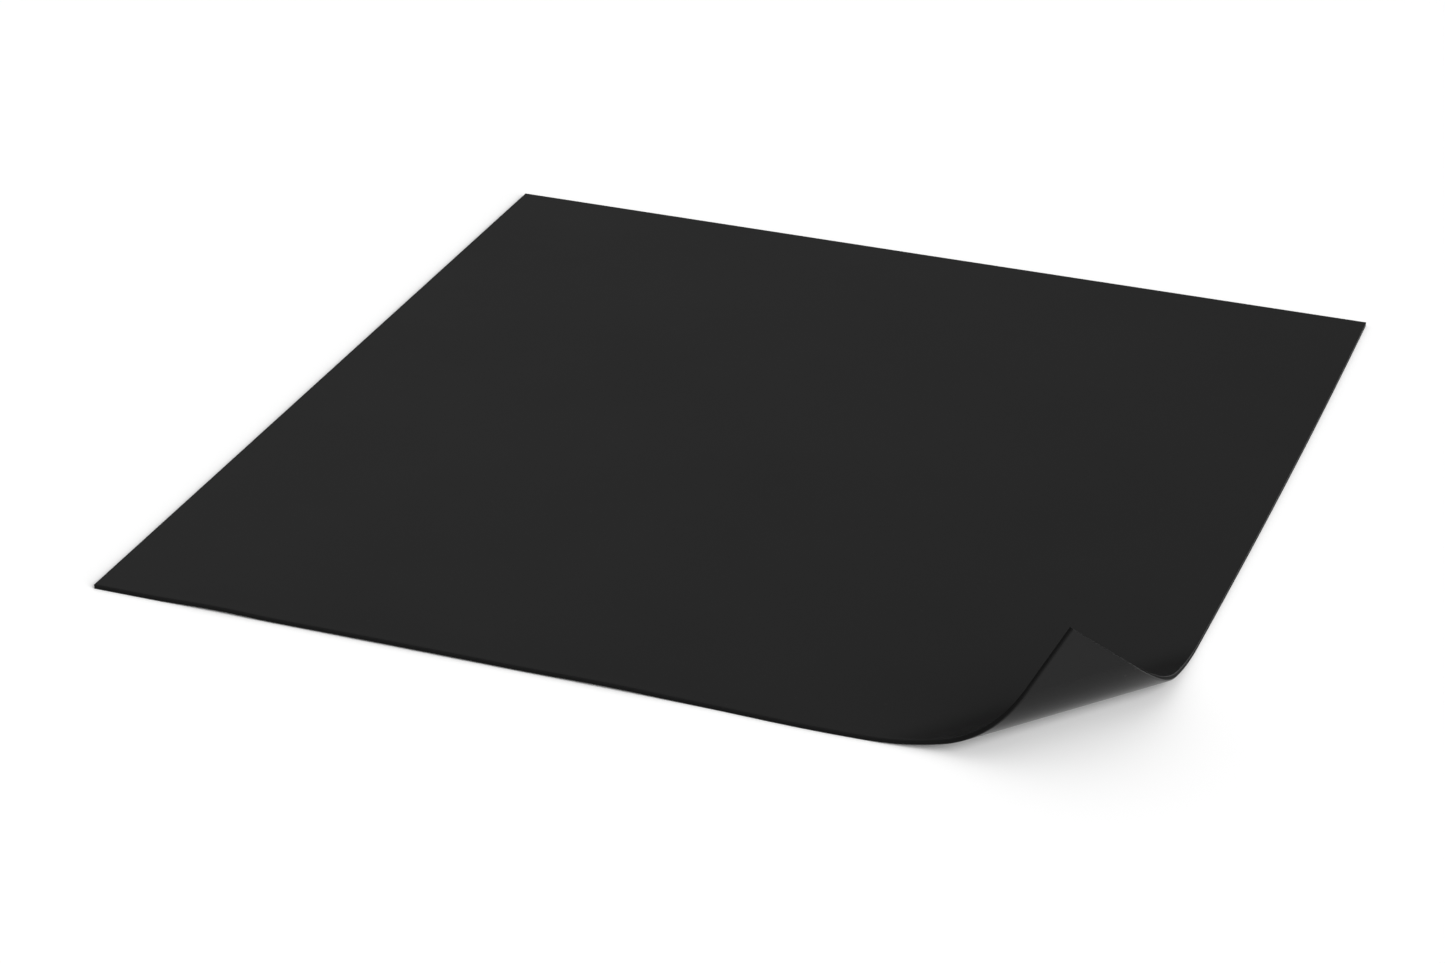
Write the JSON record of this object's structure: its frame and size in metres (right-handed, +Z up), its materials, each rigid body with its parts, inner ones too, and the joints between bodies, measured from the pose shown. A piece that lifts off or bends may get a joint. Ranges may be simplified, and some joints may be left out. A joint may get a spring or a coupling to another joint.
{
  "type": "seedling heat mat",
  "caption": "Thin black heat mat for seed trays: a printed heating film and felt sealed between two plastic covers, with one corner curled up.",
  "frame": {"origin": "middle of the mat on the plane of its underside", "axes": "+X along the front edge to the right, +Y to the back edge, +Z up through the thickness"},
  "size_m": [0.5085, 0.5274, 0.061],
  "materials": {
    "cover_top": "matte black sheet with a fine grain",
    "cover_base": "smooth satin black sheet",
    "seal": "black sealing strip",
    "felt": "pale needled felt",
    "film": "clear polyester film",
    "carbon": "printed carbon ink",
    "copper": "copper foil",
    "terminal": "tinned crimp",
    "lead": "insulated wire",
    "entry": "moulded entry block"
  },
  "bodies": {
    "mat": {"bottom_cover": "cover_base", "busbar_left": "copper", "busbar_right": "copper", "carbon_stripes": "carbon", "cord_entry": "entry", "edge_seal_back": "seal", "edge_seal_front": "seal", "edge_seal_left": "seal", "edge_seal_right": "seal", "film_carrier": "film", "film_cover": "film", "insulation_felt": "felt", "lead_left": "lead", "lead_right": "lead", "terminal_left": "terminal", "terminal_right": "terminal", "top_cover": "cover_top"},
    "corner_1": {"corner_1_bottom_cover": "cover_base", "corner_1_busbar_right": "copper", "corner_1_carbon_stripes": "carbon", "corner_1_edge_seal": "seal", "corner_1_film_sheets": "film", "corner_1_insulation_felt": "felt", "corner_1_top_cover": "cover_top"},
    "corner_2": {"corner_2_bottom_cover": "cover_base", "corner_2_busbar_right": "copper", "corner_2_carbon_stripes": "carbon", "corner_2_edge_seal": "seal", "corner_2_film_sheets": "film", "corner_2_insulation_felt": "felt", "corner_2_top_cover": "cover_top"},
    "corner_3": {"corner_3_bottom_cover": "cover_base", "corner_3_busbar_right": "copper", "corner_3_carbon_stripes": "carbon", "corner_3_edge_seal": "seal", "corner_3_film_sheets": "film", "corner_3_insulation_felt": "felt", "corner_3_top_cover": "cover_top"},
    "corner_4": {"corner_4_bottom_cover": "cover_base", "corner_4_busbar_right": "copper", "corner_4_carbon_stripes": "carbon", "corner_4_edge_seal": "seal", "corner_4_film_sheets": "film", "corner_4_insulation_felt": "felt", "corner_4_top_cover": "cover_top"},
    "corner_5": {"corner_5_bottom_cover": "cover_base", "corner_5_busbar_right": "copper", "corner_5_carbon_stripes": "carbon", "corner_5_edge_seal": "seal", "corner_5_film_sheets": "film", "corner_5_insulation_felt": "felt", "corner_5_top_cover": "cover_top"},
    "corner_6": {"corner_6_bottom_cover": "cover_base", "corner_6_busbar_right": "copper", "corner_6_edge_seal": "seal", "corner_6_film_sheets": "film", "corner_6_insulation_felt": "felt", "corner_6_top_cover": "cover_top"}
  },
  "joints": [
    {"name": "corner_curl", "type": "hinge", "parent": "mat", "child": "corner_1", "pos_m": [0.18983, -0.21004, 0.0026], "axis": [-0.6401, -0.7683, 0], "range_deg": [-10, 4], "stiffness_Nm_per_rad": 0.4, "springref_deg": 0.92},
    {"name": "corner_bend_2", "type": "hinge", "parent": "corner_1", "child": "corner_2", "pos_m": [0.2004, -0.21884, 0.00502], "axis": [-0.6401, -0.7683, 0], "range_deg": [-10, 4]},
    {"name": "corner_bend_3", "type": "hinge", "parent": "corner_2", "child": "corner_3", "pos_m": [0.20876, -0.22581, 0.00899], "axis": [-0.6401, -0.7683, 0], "range_deg": [-17, 6.8]},
    {"name": "corner_bend_4", "type": "hinge", "parent": "corner_3", "child": "corner_4", "pos_m": [0.2144, -0.23051, 0.01452], "axis": [-0.6401, -0.7683, 0], "range_deg": [-17, 6.8]},
    {"name": "corner_bend_5", "type": "hinge", "parent": "corner_4", "child": "corner_5", "pos_m": [0.21856, -0.23397, 0.02196], "axis": [-0.6401, -0.7683, 0], "range_deg": [-17, 6.8]},
    {"name": "corner_bend_6", "type": "hinge", "parent": "corner_5", "child": "corner_6", "pos_m": [0.22086, -0.23589, 0.03066], "axis": [-0.6401, -0.7683, 0], "range_deg": [-17, 6.8]}
  ],
  "couplings": [
    {"joint": "corner_bend_2", "follows": "corner_curl", "ratio": 1},
    {"joint": "corner_bend_3", "follows": "corner_curl", "ratio": 1.7},
    {"joint": "corner_bend_4", "follows": "corner_curl", "ratio": 1.7},
    {"joint": "corner_bend_5", "follows": "corner_curl", "ratio": 1.7},
    {"joint": "corner_bend_6", "follows": "corner_curl", "ratio": 1.7}
  ]
}
